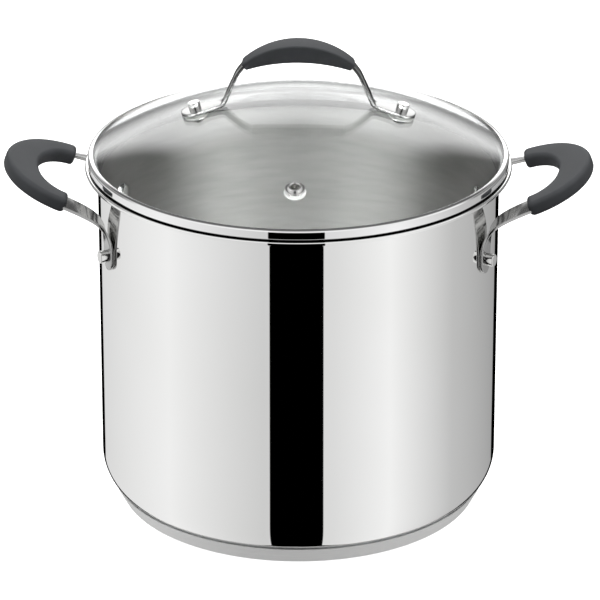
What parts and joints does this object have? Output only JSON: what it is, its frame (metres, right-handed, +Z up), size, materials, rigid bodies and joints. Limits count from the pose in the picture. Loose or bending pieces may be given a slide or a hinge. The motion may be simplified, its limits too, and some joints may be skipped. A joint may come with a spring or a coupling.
{
  "type": "water bath canner",
  "caption": "Tall steel stockpot with capsule base, riveted side handles, vented glass dome lid with riveted handle, and a lift-out wire jar rack.",
  "frame": {"origin": "centre of the base on the surface the pot stands on", "axes": "+Z up along the pot's axis, X through the two side handles, -Y towards the steam vent"},
  "size_m": [0.3846, 0.2784, 0.3159],
  "materials": {
    "pot_steel": "mirror polished stainless steel outside, fine horizontal brushing inside",
    "cap_steel": "satin stainless steel with fine concentric brushing",
    "core_aluminium": "plain rolled aluminium, sealed inside the base",
    "strap_steel": "polished stainless strip",
    "rivet_steel": "polished stainless steel",
    "grip_polymer": "matte charcoal soft-touch heat-resistant polymer",
    "lid_glass": "clear tempered glass",
    "band_steel": "mirror polished stainless steel",
    "gasket_silicone": "translucent silicone",
    "rack_wire": "bright drawn stainless wire, electropolished"
  },
  "bodies": {
    "pot": {"pot_shell": "pot_steel", "base_cap": "cap_steel", "base_core_disc": "core_aluminium", "right_handle_strap": "strap_steel", "left_handle_strap": "strap_steel", "right_handle_grip": "grip_polymer", "left_handle_grip": "grip_polymer", "right_handle_rivets": "rivet_steel", "left_handle_rivets": "rivet_steel"},
    "lid": {"lid_glass": "lid_glass", "lid_rim_band": "band_steel", "lid_handle_strap": "strap_steel", "lid_handle_grip": "grip_polymer", "lid_handle_rivets": "rivet_steel", "lid_foot_washers": "rivet_steel", "lid_under_gaskets": "gasket_silicone", "lid_under_washers": "rivet_steel", "vent_eyelet": "rivet_steel", "vent_gasket": "gasket_silicone", "vent_washer": "rivet_steel"},
    "rack": {"rack_rim_ring": "rack_wire", "rack_jar_wires": "rack_wire", "rack_cross_bars": "rack_wire", "rack_legs": "rack_wire"}
  },
  "joints": [
    {"name": "lid_lift", "type": "slide", "parent": "pot", "child": "lid", "axis": [0, 0, 1], "range_m": [0, 0.25]},
    {"name": "rack_lift", "type": "slide", "parent": "pot", "child": "rack", "axis": [0, 0, 1], "range_m": [0, 0.18]}
  ]
}
